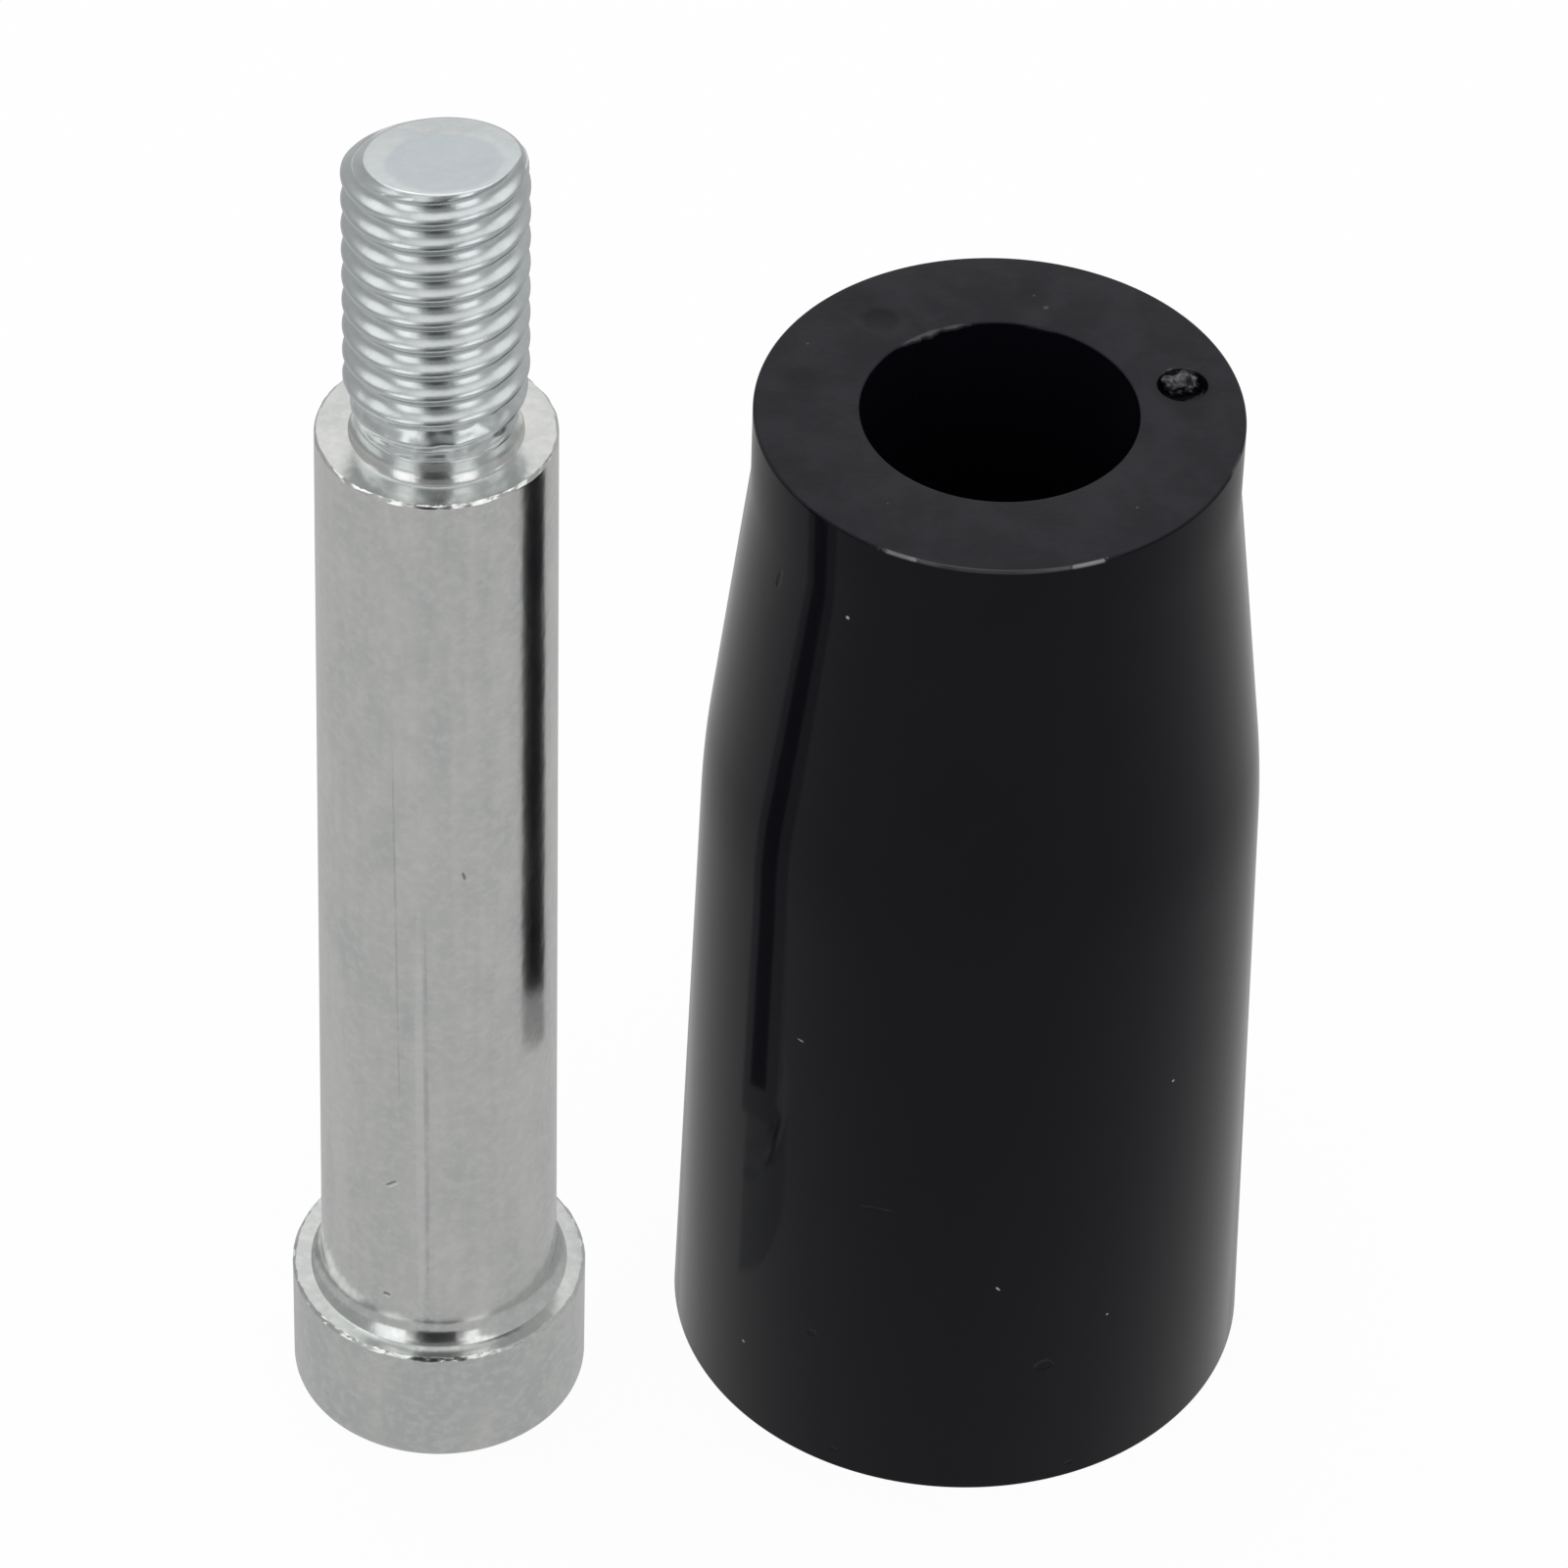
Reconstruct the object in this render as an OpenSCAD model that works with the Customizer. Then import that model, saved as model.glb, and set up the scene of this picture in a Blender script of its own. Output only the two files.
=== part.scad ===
/* [Thread end] */
// Size over the thread crests, a little under the nominal 6
thread_d = 5.98; // [5.7:0.02:6.6]
// Length from the clamping shoulder to the middle of the end face
thread_len = 11; // [7:0.5:30]
// Width of the flat end face inside the lead-in chamfer
point_d = 5; // [3.6:0.1:5.6]
// Lean of the cropped end, in degrees
end_lean = 8.5; // [0:0.5:10]
// Width of the smooth neck under the last turn
neck_d = 5.4; // [4.8:0.1:5.6]
// Length of the smooth neck above its flare
neck_len = 0.5; // [0:0.1:1.5]

/* [Shoulder] */
// Width of the smooth shank at the clamping shoulder
shoulder_d = 7.8; // [7.2:0.1:8.1]
// Width of the shank next to the head, more by the draft of its die
root_d = 8.1; // [7.8:0.1:8.6]
// Length of the smooth shank, from the head to the clamping shoulder
shoulder_len = 37.1; // [30:0.1:39]
// Chamfer round the clamping shoulder
shoulder_chamfer = 0.08; // [0.02:0.02:0.3]
// Width of the flare where the shank runs out onto the head
flare_w = 0.37; // [0.1:0.01:0.5]

/* [Head] */
// Width of the head
head_d = 10.1; // [9.8:0.1:13]
// Height of the head
head_h = 5; // [4.4:0.1:8]
// Chamfer round the face that bears on the grip
head_chamfer = 0.07; // [0.02:0.01:0.2]
// Rounding round the face with the key socket
head_edge = 0.6; // [0.1:0.1:1]
// Key size across the flats of the socket
key_flats = 5; // [3:0.5:6]
// Depth of the key socket, to where the drill point starts
socket_depth = 2.5; // [1.5:0.1:3.2]

/* [Grip] */
// Length of the grip
grip_len = 40; // [38:0.1:60]
// Width at the wide end
base_d = 19.8; // [18.8:0.1:26]
// Width at the bend between the two tapers
waist_d = 18.64; // [16.6:0.02:19.6]
// Height of that bend above the wide end
waist_h = 25.1; // [18:0.1:30]
// Radius that softens the bend
waist_round = 40; // [10:5:60]
// Width of the narrow end
narrow_d = 15.98; // [14.2:0.02:18.4]
// Length of the straight land at the narrow end
narrow_land = 3; // [1:0.1:6]
// Rounding of the narrow end's outer edge
narrow_edge = 0.12; // [0.04:0.02:0.6]
// Rounding of the wide end's outer edge
base_edge = 0.1; // [0.05:0.05:1]

/* [Bore] */
// Running clearance of the grip round the shank, on the radius
running_fit = 0.1; // [0.05:0.01:0.3]
// Length of the straight bearing land
land_len = 8; // [4:0.5:14]
// Width of the drafted bore at the narrow end
mouth_d = 9.05; // [8.9:0.05:10.5]
// End play of the grip between the head and the machine
end_play = 0.5; // [0.2:0.1:1]
// Clearance of the head in its pocket, on the radius
pocket_fit = 0.3; // [0.1:0.05:0.6]

/* [Moulding marks] */
// Width of an ejector pin's mark
ejector_d = 1.4; // [0.8:0.1:1.8]
// Depth of an ejector pin's mark
ejector_depth = 0.06; // [0.02:0.02:0.2]
// Width of the pit that holds the gate
gate_d = 1.6; // [1:0.1:1.8]
// Depth of that pit
gate_depth = 0.35; // [0.1:0.05:0.6]
// Width of the gate stub that is left standing in the pit
stub_d = 0.7; // [0.3:0.1:0.8]

/* [Standing side by side] */
// Gap on the table between the head and the wide end
stand_gap = 3.55; // [1:0.05:30]

/* [Hidden] */
$fn = 96;
// Overrun of every cut
cut = 0.5;
// How far the flare at the root of the neck runs out past the crests
past_crest = 0.03;
// Slope that both flares have reached where they meet the face, in degrees
flare_slope = 50;
// Slope of the cone from the neck up to the last turn, in degrees
runout_angle = 45;
// Slope of the lead-in chamfer on the thread end, in degrees
lead_angle = 45;
// Which way the high side of the cropped end faces, in degrees
lean_turn = -87;
// Lead-in chamfer at the mouth of the key socket, at its corners
socket_lead = 0.25;
// Slope of the drill point under the key socket, in degrees
drill_angle = 30;
// Clearance between the flare and its relief in the grip
flare_fit = 0.12;
// Rounding of the bore's edge at the narrow end
mouth_edge = 0.1;
// Where the ejector marks and the gate lie round the narrow end, in degrees
ejector_turns = [66, 117, 155];
gate_turn = 2;
// Angles between the points of an arc, in degrees
edge_step = 22.5;
flare_step = 10;
bend_steps = 6;

stand_w = head_d + stand_gap + base_d;
axle_x = head_d / 2 - stand_w / 2;
grip_x = stand_w / 2 - base_d / 2;

seat_z = head_h;
clamp_z = seat_z + shoulder_len;
end_z = clamp_z + thread_len;
end_rise = thread_d / 2 * tan(end_lean);
neck_flare_w = (thread_d - neck_d) / 2 + past_crest;
runout_h = (thread_d - neck_d) / 2 * tan(runout_angle);
neck_top_z = clamp_z + flare_round(neck_flare_w) * sin(flare_slope) + neck_len;
crest_bottom_z = neck_top_z + runout_h;

pocket_depth = grip_len - shoulder_len + end_play;
pocket_d = head_d + 2 * pocket_fit;
land_d = root_d + 2 * running_fit;
relief_d = root_d + 2 * (flare_w + flare_fit);
relief_h = flare_round(flare_w) * sin(flare_slope) + flare_fit;
land_top_z = pocket_depth + relief_h + land_len;
face_ring_d = (narrow_d + mouth_d) / 2;

// Points of a quarter arc about [x, z] from one angle to another, with a
// width and a height that may differ
function arc(x, z, w, h, from, to, step) =
    [for (a = [0 : 1 : ceil(abs(to - from) / step)])
        let (t = from + (to - from) * a / ceil(abs(to - from) / step))
        [x + w * cos(t), z + h * sin(t)]];

// Radius of a flare that runs out this far by the time it has its slope
function flare_round(w) = w / (1 - cos(flare_slope));

// Points of a flare of this width, from the face at height z up to a wall
// of radius r
function flare(r, z, w) =
    let (size = flare_round(w))
    arc(r + size, z + size * sin(flare_slope), size, size, 180 + flare_slope, 180, flare_step);

// The turned outline of the screw, from its head up to the thread end
module axle_outline() {
    polygon(concat(
        [[0, 0]],
        arc(head_d / 2 - head_edge, head_edge, head_edge, head_edge, -90, 0, edge_step),
        [[head_d / 2, seat_z - head_chamfer], [head_d / 2 - head_chamfer, seat_z]],
        flare(root_d / 2, seat_z, flare_w),
        [[shoulder_d / 2, clamp_z - shoulder_chamfer], [shoulder_d / 2 - shoulder_chamfer, clamp_z]],
        flare(neck_d / 2, clamp_z, neck_flare_w),
        [[neck_d / 2, neck_top_z],
         [thread_d / 2, crest_bottom_z],
         [thread_d / 2, end_z + end_rise],
         [0, end_z + end_rise]]
    ));
}

// The hexagon socket for the key, with its lead-in and its drill point
module key_socket() {
    socket_r = key_flats / 2 / cos(30);
    translate([0, 0, -cut]) cylinder(r = socket_r, h = socket_depth + cut, $fn = 6);
    translate([0, 0, -cut])
        cylinder(r1 = socket_r + socket_lead + cut, r2 = key_flats / 2,
                 h = socket_r + socket_lead + cut - key_flats / 2);
    translate([0, 0, socket_depth])
        cylinder(r1 = key_flats / 2, r2 = 0, h = key_flats / 2 * tan(drill_angle));
}

// All that lies beyond the leaning face and the chamfer of the cropped end
module cropped_end() {
    translate([0, 0, end_z])
        rotate([0, 0, lean_turn])
            rotate([0, -end_lean, 0])
                rotate_extrude()
                    polygon([[0, 0],
                             [point_d / 2, 0],
                             [thread_d, (point_d / 2 - thread_d) * tan(lead_angle)],
                             [thread_d, 2 * end_rise + cut],
                             [0, 2 * end_rise + cut]]);
}

module axle_screw() {
    color([0.68, 0.69, 0.68])
        translate([axle_x, 0, 0])
            difference() {
                rotate_extrude() axle_outline();
                key_socket();
                cropped_end();
            }
}

// Lean of the grip's wall below and above its bend, in degrees
lower_lean = atan((base_d - waist_d) / 2 / waist_h);
upper_lean = atan((waist_d - narrow_d) / 2 / (grip_len - narrow_land - waist_h));
bend_tangent = waist_round * tan((upper_lean - lower_lean) / 2);

// The moulded outside of the grip: two tapers with a soft bend between them
module grip_outline() {
    polygon(concat(
        [[0, 0]],
        arc(base_d / 2 - base_edge, base_edge, base_edge, base_edge, -90, 0, edge_step),
        [for (i = [0 : bend_steps])
            let (lean = lower_lean + (upper_lean - lower_lean) * i / bend_steps,
                 from_x = waist_d / 2 + bend_tangent * sin(lower_lean) - waist_round * cos(lower_lean),
                 from_z = waist_h - bend_tangent * cos(lower_lean) - waist_round * sin(lower_lean))
            [from_x + waist_round * cos(lean), from_z + waist_round * sin(lean)]],
        [[narrow_d / 2, grip_len - narrow_land]],
        arc(narrow_d / 2 - narrow_edge, grip_len - narrow_edge, narrow_edge, narrow_edge, 0, 90, edge_step),
        [[0, grip_len]]
    ));
}

// The stepped hole: head pocket, flare relief, bearing land, drafted bore
module bore_outline() {
    polygon(concat(
        [[0, -cut],
         [pocket_d / 2, -cut],
         [pocket_d / 2, pocket_depth],
         [relief_d / 2, pocket_depth],
         [land_d / 2, pocket_depth + relief_h],
         [land_d / 2, land_top_z]],
        arc(mouth_d / 2 + mouth_edge, grip_len - mouth_edge, mouth_edge, mouth_edge, 180, 90, edge_step),
        [[mouth_d / 2 + mouth_edge, grip_len + cut],
         [0, grip_len + cut]]
    ));
}

// A round sinking in the narrow end, this wide and deep, at a turn
module face_mark(width, depth, turn) {
    rotate([0, 0, turn])
        translate([face_ring_d / 2, 0, grip_len - depth])
            cylinder(d = width, h = depth + cut);
}

// The torn gate stub, which stays under the face
module gate_stub() {
    rotate([0, 0, gate_turn])
        translate([face_ring_d / 2, 0, grip_len - gate_depth])
            cylinder(d1 = stub_d, d2 = stub_d / 2, h = gate_depth / 2);
}

module grip() {
    color([0.05, 0.05, 0.055])
        translate([grip_x, 0, 0]) {
            difference() {
                rotate_extrude() grip_outline();
                rotate_extrude() bore_outline();
                for (turn = ejector_turns) face_mark(ejector_d, ejector_depth, turn);
                face_mark(gate_d, gate_depth, gate_turn);
            }
            gate_stub();
        }
}

axle_screw();
grip();
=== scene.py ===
import math

import bmesh
import bpy
from mathutils import Matrix, Vector, noise


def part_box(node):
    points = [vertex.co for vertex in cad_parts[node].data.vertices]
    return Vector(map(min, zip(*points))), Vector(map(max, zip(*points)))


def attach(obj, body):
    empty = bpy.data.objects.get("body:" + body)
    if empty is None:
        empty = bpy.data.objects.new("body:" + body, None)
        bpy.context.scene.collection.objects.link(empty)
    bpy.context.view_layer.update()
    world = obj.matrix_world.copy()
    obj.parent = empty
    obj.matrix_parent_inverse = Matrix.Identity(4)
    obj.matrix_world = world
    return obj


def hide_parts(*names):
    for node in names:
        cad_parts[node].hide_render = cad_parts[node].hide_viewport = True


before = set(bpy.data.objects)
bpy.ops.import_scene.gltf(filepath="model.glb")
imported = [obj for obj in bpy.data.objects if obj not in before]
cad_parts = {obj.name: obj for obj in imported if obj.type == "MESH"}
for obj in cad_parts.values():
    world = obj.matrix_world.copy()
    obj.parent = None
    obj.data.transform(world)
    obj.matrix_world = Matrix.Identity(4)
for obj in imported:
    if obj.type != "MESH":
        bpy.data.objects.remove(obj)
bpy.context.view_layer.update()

# Millimetres, the unit of every size below
MM = 0.001

# Places of the two pieces, from the frame
screw_low, screw_high = (Vector(corner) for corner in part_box("axle_screw"))
grip_low, grip_high = (Vector(corner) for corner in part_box("grip"))
SCREW_X = (screw_low.x + screw_high.x) / 2 / MM
GRIP_X = (grip_low.x + grip_high.x) / 2 / MM

# The screw's head and its key socket
HEAD_R = (screw_high.x - screw_low.x) / 2 / MM
HEAD_H = 5.0
HEAD_EDGE = 0.6
HEAD_BURR = 0.09
HEAD_BURR_LIFT = 0.075
KEY_FLATS = 5.0
KEY_R = KEY_FLATS / 2 / math.cos(math.radians(30))
SOCKET_DEPTH = 2.5
SOCKET_LEAD = 0.25
DRILL_R = 2.42
DRILL_SLOPE = math.radians(30)

# The shank, with the draft of its die, and the slope of both flares at the face
SHANK_R = 3.9
ROOT_R = 4.05
SHANK_LEN = 37.1
SHANK_BURR = 0.08
SHANK_BURR_LIFT = 0.045
FLARE_W = 0.37
FLARE_SLOPE = math.radians(50)

# The burrs: how fine they are, and how far they may stand out of the wall and the face
BURR_PACE = 2.2
BURR_OUT_MOST = 0.01
BURR_UP_MOST = 0.02

# The neck, and how high above the shoulder the rolled groove and its crests run out
NECK_R = 2.62
NECK_LEN = 0.3
NECK_FLARE_W = 0.2
RUNOUT_LOW = 0.7
RUNOUT_HIGH = 2.3
RUNOUT_TEAR = 0.05
RUNOUT_BLEND = 0.04

# The thread: its groove is pressed into rings this far apart, with soft crests and roots
THREAD_R = 2.99
THREAD_LEN = 11.0
PITCH = 1.0
THREAD_DEPTH = 0.45
THREAD_RING = 0.042
CREST_HALF = 0.07
CREST_SOFT = 0.06
ROOT_SOFT = 0.24
FLANK_SLOPE = 1.75
FIRST_CREST = 1.53
FIRST_CREST_TURN = math.radians(-100.5)

# The cropped end: its edge, the flat in its face, how it falls off round that, and its lean
POINT_R = 2.46
POINT_EDGE = 0.14
POINT_SHIFT = Vector((0.2, -0.04))
POINT_FLAT_R = 1.8
POINT_FLAT_PLACE = Vector((0.15, -0.55))
POINT_FALL = math.radians(4)
POINT_BEND = 0.2
END_LEAN = math.radians(8.5)
LEAN_TURN = math.radians(-87)
LEAN_REACH = 1.9

CLAMP_Z = HEAD_H + SHANK_LEN
END_Z = CLAMP_Z + THREAD_LEN
LEAD_H = THREAD_R - POINT_R

# The grip
GRIP_LEN = (grip_high.z - grip_low.z) / MM
BASE_R = (grip_high.x - grip_low.x) / 2 / MM
BASE_EDGE = 0.1
WAIST_R = 9.32
WAIST_H = 25.1
WAIST_ROUND = 40.0
NARROW_R = 7.99
NARROW_LAND = 3.0
NARROW_EDGE = 0.12
POCKET_R = 5.35
POCKET_DEPTH = 3.4
RELIEF_R = 4.54
RELIEF_H = 0.91
LAND_R = 4.15
LAND_LEN = 8.0
MOUTH_R = 4.525
MOUTH_EDGE = 0.1

# Marks of the mould in the narrow end: turn in degrees, distance from the axis, radius,
# depth, width of the slope
EJECTOR_MARKS = [(117.4, 5.96, 0.74, 0.04, 0.22), (155.5, 6.6, 0.64, 0.012, 0.15),
                 (66.1, 5.92, 0.64, 0.012, 0.15)]
GATE_PIT = (1.6, 6.14, 0.84, 0.35, 0.1)

# The torn stub in the gate's pit: its size, how lumpy and flat it is, and its place in the pit
GATE_STUB_R = 0.62
GATE_STUB_LUMPS = 0.34
GATE_STUB_PACE = 1.9
GATE_STUB_SEED = Vector((3.1, 0, 0))
GATE_STUB_FLAT = (1.0, 0.72, 0.72)
GATE_STUB_SHIFT = Vector((0.04, 0.3))
GATE_STUB_SINK = 0.28

# The torn flash at the edge of the bore: its turn and half its reach in degrees, its size
FLASH_TURN = 106.0
FLASH_FULL = 6
FLASH_END = 17
FLASH_IN = 0.2
FLASH_UP = 0.05

# Steps round a full turn, and the angle in degrees from which an edge is sharp
SCREW_TURNS = 264
GRIP_TURNS = 256
SHARP_ANGLE = 35


def arc(x, z, w, h, start, end, steps):
    """Points of an arc about x, z, from one angle in degrees to another."""
    angles = [math.radians(start + (end - start) * i / steps) for i in range(steps + 1)]
    return [(x + w * math.cos(a), z + h * math.sin(a)) for a in angles]


def run(start, end, steps):
    """Points of a straight stretch, without its last point."""
    return [(start[0] + (end[0] - start[0]) * i / steps,
             start[1] + (end[1] - start[1]) * i / steps) for i in range(steps)]


def lathe(outline, turns):
    """A closed bmesh turned about the Z axis from an outline of radii and heights."""
    bm = bmesh.new()
    points = [bm.verts.new((r, 0, z)) for r, z in outline]
    edges = [bm.edges.new(pair) for pair in zip(points, points[1:])]
    bmesh.ops.spin(bm, geom=points + edges, cent=(0, 0, 0), axis=(0, 0, 1),
                   angle=math.tau, steps=turns, use_merge=True)
    bmesh.ops.remove_doubles(bm, verts=bm.verts, dist=0.0005)
    bmesh.ops.recalc_face_normals(bm, faces=bm.faces)
    return bm


def piece_from(bm, name, centre_x=0.0):
    """Makes an object of a bmesh in millimetres, smooth but for its sharp edges."""
    bmesh.ops.translate(bm, verts=bm.verts, vec=(centre_x, 0, 0))
    bmesh.ops.scale(bm, verts=bm.verts, vec=(MM, MM, MM))
    mesh = bpy.data.meshes.new(name)
    bm.to_mesh(mesh)
    bm.free()
    piece = bpy.data.objects.new(name, mesh)
    bpy.context.scene.collection.objects.link(piece)
    mesh.shade_smooth()
    mesh.set_sharp_from_angle(angle=math.radians(SHARP_ANGLE))
    return piece


def ease(value, low, high):
    """Rises smoothly from 0 at low to 1 at high."""
    t = min(max((value - low) / (high - low), 0), 1)
    return t * t * (3 - 2 * t)


def flare(r, z, width):
    """Points of a flare of this width, from the face at height z up to a wall of radius r."""
    size = width / (1 - math.cos(FLARE_SLOPE))
    return arc(r + size, z + size * math.sin(FLARE_SLOPE), size, size,
               180 + math.degrees(FLARE_SLOPE), 180, 12)


def rounded(before, corner, after, radius, steps=5):
    """Points of a rounding at the corner between two straight stretches."""
    corner = Vector(corner)
    back, on = (Vector(before) - corner).normalized(), (Vector(after) - corner).normalized()
    half = back.angle(on) / 2
    centre = corner + (back + on).normalized() * radius / math.sin(half)
    first = corner + back * radius / math.tan(half) - centre
    last = corner + on * radius / math.tan(half) - centre
    sweep = first.angle_signed(last)
    return [tuple(centre + Matrix.Rotation(-sweep * i / steps, 2) @ first) for i in range(steps + 1)]


def burred(r, z, size):
    """Points of a fine chamfer with a burr, between a wall and the face above it."""
    guard, outer_guard = size + 0.02, size + 0.05
    return [(r, z - outer_guard), (r, z - guard), (r, z - size), (r - size / 2, z - size / 2),
            (r - size, z), (r - guard, z), (r - outer_guard, z)]


def screw_outline():
    """Outline of the screw from its key socket round the head up to its end."""
    neck = flare(NECK_R, CLAMP_Z, NECK_FLARE_W)
    neck_top = neck[-1][1] + NECK_LEN
    crest_bottom = neck_top + THREAD_R - NECK_R
    lead_bottom = END_Z - LEAD_H
    rings = round((lead_bottom - crest_bottom) / THREAD_RING)
    return ([(0, SOCKET_DEPTH + DRILL_R * math.tan(DRILL_SLOPE)), (DRILL_R, SOCKET_DEPTH),
             (KEY_R, SOCKET_DEPTH), (KEY_R, SOCKET_LEAD), (KEY_R + SOCKET_LEAD, 0)]
            + arc(HEAD_R - HEAD_EDGE, HEAD_EDGE, HEAD_EDGE, HEAD_EDGE, -90, 0, 8)
            + burred(HEAD_R, HEAD_H, HEAD_BURR)
            + flare(ROOT_R, HEAD_H, FLARE_W)
            + burred(SHANK_R, CLAMP_Z, SHANK_BURR)
            + neck + run(neck[-1], (NECK_R, neck_top), 8)[1:]
            + run((NECK_R, neck_top), (THREAD_R, crest_bottom), 8)
            + run((THREAD_R, crest_bottom), (THREAD_R, lead_bottom), rings)
            + run((THREAD_R, lead_bottom), (POINT_R, END_Z), 9)
            + rounded((THREAD_R, lead_bottom), (POINT_R, END_Z), (0, END_Z), POINT_EDGE)
            + run((POINT_R - POINT_EDGE, END_Z), (0, END_Z), 14) + [(0, END_Z)])


def shape_key_socket(bm):
    """Draws the round wall of the socket in to a hexagon, with its lead-in."""
    for vert in bm.verts:
        r = math.hypot(vert.co.x, vert.co.y)
        if abs(r - KEY_R) < 0.01 and vert.co.z < SOCKET_DEPTH + 0.01:
            turn = math.atan2(vert.co.y, vert.co.x) % math.radians(60)
            hexagon = KEY_FLATS / 2 / math.cos(turn - math.radians(30))
            vert.co.x *= hexagon / r
            vert.co.y *= hexagon / r
            if vert.co.z < SOCKET_LEAD + 0.01:
                vert.co.z = KEY_R + SOCKET_LEAD - hexagon


def lean_end(bm):
    """Leans the cropped end, less and less down the thread, and lets its face fall off round a flat."""
    for vert in bm.verts:
        if vert.co.z > END_Z - LEAD_H / 2:
            off_flat = (vert.co.xy - POINT_FLAT_PLACE).length
            outside = ease(off_flat, POINT_FLAT_R - POINT_BEND, POINT_FLAT_R + POINT_BEND)
            vert.co.z -= (off_flat - POINT_FLAT_R) * math.tan(POINT_FALL) * outside
        out = vert.co.x * math.cos(LEAN_TURN) + vert.co.y * math.sin(LEAN_TURN)
        vert.co.xy += POINT_SHIFT * ease(vert.co.z, END_Z - LEAD_H, END_Z - 0.1)
        vert.co.z += out * math.tan(END_LEAN) * ease(vert.co.z, END_Z - LEAN_REACH, END_Z - LEAD_H - 0.1)


def soft_above_zero(value, softness):
    """The value where it is above zero, and else zero, with a soft bend between the two."""
    return (value + math.sqrt(value * value + softness * softness)) / 2


def groove_depth(off_crest):
    """Depth of the rolled groove, this far along the axis from the middle of a crest."""
    flank = FLANK_SLOPE * soft_above_zero(off_crest - CREST_HALF, CREST_SOFT)
    return THREAD_DEPTH - soft_above_zero(THREAD_DEPTH - flank, ROOT_SOFT)


def press_thread(bm):
    """Rolls the groove into the blank and its crests out of it, less and less towards the neck."""
    for vert in bm.verts:
        r = math.hypot(vert.co.x, vert.co.y)
        height = vert.co.z - CLAMP_Z
        if r < 1.0 or height < RUNOUT_LOW:
            continue
        angle = math.atan2(vert.co.y, vert.co.x)
        place = (height - FIRST_CREST) / PITCH - (angle - FIRST_CREST_TURN) / math.tau
        depth = groove_depth(abs(place - round(place)) * PITCH) - groove_depth(0)
        torn_and_lit = 1 - ease(height, RUNOUT_HIGH - 0.4, RUNOUT_HIGH + 0.9)
        rolled = NECK_R + (THREAD_R - depth - NECK_R) * ease(height, RUNOUT_LOW, RUNOUT_HIGH)
        tear = noise.noise(Vector((math.cos(angle) * 5, math.sin(angle) * 5, height * 4)))
        rolled += RUNOUT_TEAR * torn_and_lit * tear
        lower = r - soft_above_zero(r - rolled, RUNOUT_BLEND)
        vert.co.x *= lower / r
        vert.co.y *= lower / r


def ragged(turn, seed, pace):
    """A seeded unevenness round an edge, from -1 to 1, and finer at a higher pace."""
    return noise.noise(Vector((math.cos(turn), math.sin(turn), seed)) * pace)


def roughen_edge(bm, edge_r, edge_z, size, lift):
    """Gives the fine chamfer at the end of a wall its uneven, broken burr."""
    for vert in bm.verts:
        r = math.hypot(vert.co.x, vert.co.y)
        across = abs(edge_r - size / 2 - r)
        along = abs(edge_z - size / 2 - vert.co.z)
        if max(across, along) < size / 2 + 0.01:
            turn = math.atan2(vert.co.y, vert.co.x)
            out = ragged(turn, edge_z + 9 * r, edge_r * BURR_PACE) * lift
            up = ragged(turn, edge_z + 5 + 9 * r, edge_r * BURR_PACE) * lift
            vert.co.x *= (r + min(out, BURR_OUT_MOST)) / r
            vert.co.y *= (r + min(out, BURR_OUT_MOST)) / r
            vert.co.z += min(up, BURR_UP_MOST)


def make_screw():
    """The screw: turned blank, hexagon socket, cropped end, rolled thread and burrs."""
    bm = lathe(screw_outline(), SCREW_TURNS)
    shape_key_socket(bm)
    lean_end(bm)
    press_thread(bm)
    roughen_edge(bm, HEAD_R, HEAD_H, HEAD_BURR, HEAD_BURR_LIFT)
    roughen_edge(bm, SHANK_R, CLAMP_Z, SHANK_BURR, SHANK_BURR_LIFT)
    return piece_from(bm, "zinc_screw", SCREW_X)


def grip_outline():
    """Outline of the grip from its head pocket round the outside and down the bore."""
    lower = math.atan((BASE_R - WAIST_R) / WAIST_H)
    upper = math.atan((WAIST_R - NARROW_R) / (GRIP_LEN - NARROW_LAND - WAIST_H))
    tangent = WAIST_ROUND * math.tan((upper - lower) / 2)
    bend_x = WAIST_R + tangent * math.sin(lower) - WAIST_ROUND * math.cos(lower)
    bend_z = WAIST_H - tangent * math.cos(lower) - WAIST_ROUND * math.sin(lower)
    bend = arc(bend_x, bend_z, WAIST_ROUND, WAIST_ROUND, math.degrees(lower), math.degrees(upper), 12)
    return ([(POCKET_R, 0)]
            + arc(BASE_R - BASE_EDGE, BASE_EDGE, BASE_EDGE, BASE_EDGE, -90, 0, 5)
            + bend
            + [(NARROW_R, GRIP_LEN - NARROW_LAND)]
            + arc(NARROW_R - NARROW_EDGE, GRIP_LEN - NARROW_EDGE, NARROW_EDGE, NARROW_EDGE, 0, 90, 6)
            + arc(MOUTH_R + MOUTH_EDGE, GRIP_LEN - MOUTH_EDGE, MOUTH_EDGE, MOUTH_EDGE, 90, 180, 6)
            + [(LAND_R, POCKET_DEPTH + RELIEF_H + LAND_LEN),
               (LAND_R, POCKET_DEPTH + RELIEF_H),
               (RELIEF_R, POCKET_DEPTH),
               (POCKET_R, POCKET_DEPTH),
               (POCKET_R, 0)])


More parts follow.
